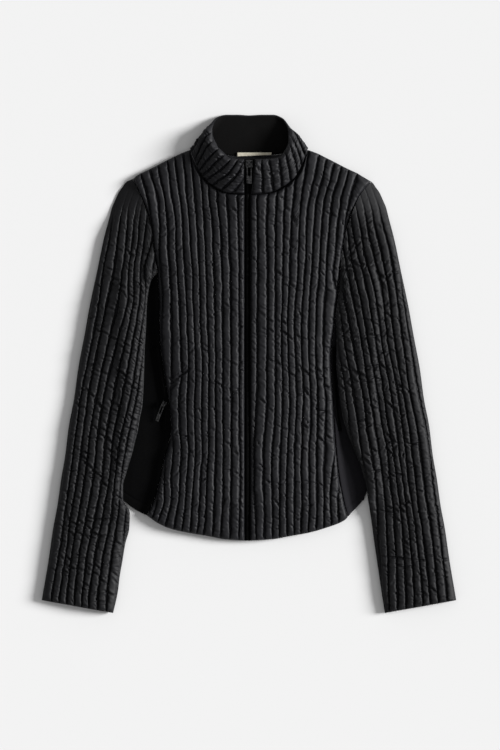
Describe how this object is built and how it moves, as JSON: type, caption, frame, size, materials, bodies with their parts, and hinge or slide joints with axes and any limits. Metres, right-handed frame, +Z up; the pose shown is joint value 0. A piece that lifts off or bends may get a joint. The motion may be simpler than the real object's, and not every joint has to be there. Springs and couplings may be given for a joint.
{
  "type": "quilted jacket",
  "caption": "Short fitted jacket with upright quilted channels, stand collar, smooth side panels, long sleeves and a closed front zip, laid flat.",
  "frame": {"origin": "on the floor under the middle of the jacket as it lies: the bottom centre of its bounding box", "axes": "+X towards the wearer's left sleeve, +Y from the hem to the collar, +Z up out of the jacket's front"},
  "size_m": [0.613, 0.7372, 0.036],
  "materials": {
    "quilted_nylon": "slightly shiny black nylon",
    "jersey": "matte black stretch jersey",
    "label_tape": "matte cream woven tape, bare",
    "zip_tape": "matte black woven tape",
    "nylon_coil": "semi-gloss black nylon",
    "metal": "grey plated metal"
  },
  "bodies": {
    "jacket": {"front_right": "quilted_nylon", "front_left": "quilted_nylon", "back": "quilted_nylon", "sleeve_right": "quilted_nylon", "sleeve_left": "quilted_nylon", "collar": "quilted_nylon", "side_panel_right": "jersey", "side_panel_left": "jersey", "collar_facing": "jersey", "neck_label": "label_tape", "zip_tape_right": "zip_tape", "zip_tape_left": "zip_tape", "pocket_zip_right": "zip_tape", "pocket_zip_left": "zip_tape", "zip_coil": "nylon_coil", "zip_slider": "metal", "pocket_slider": "metal"},
    "zip_pull": {"zip_pull": "metal"},
    "pocket_pull": {"pocket_pull": "metal"}
  },
  "joints": [
    {"name": "zip_pull_hinge", "type": "hinge", "parent": "jacket", "child": "zip_pull", "pos_m": [0.00034, 0.29481, 0.0333], "axis": [-1, 0, 0], "range_deg": [0, 150]},
    {"name": "pocket_pull_hinge", "type": "hinge", "parent": "jacket", "child": "pocket_pull", "pos_m": [-0.12634, -0.05957, 0.01285], "axis": [-0.793, 0.4099, -0.4507], "range_deg": [0, 150]}
  ]
}
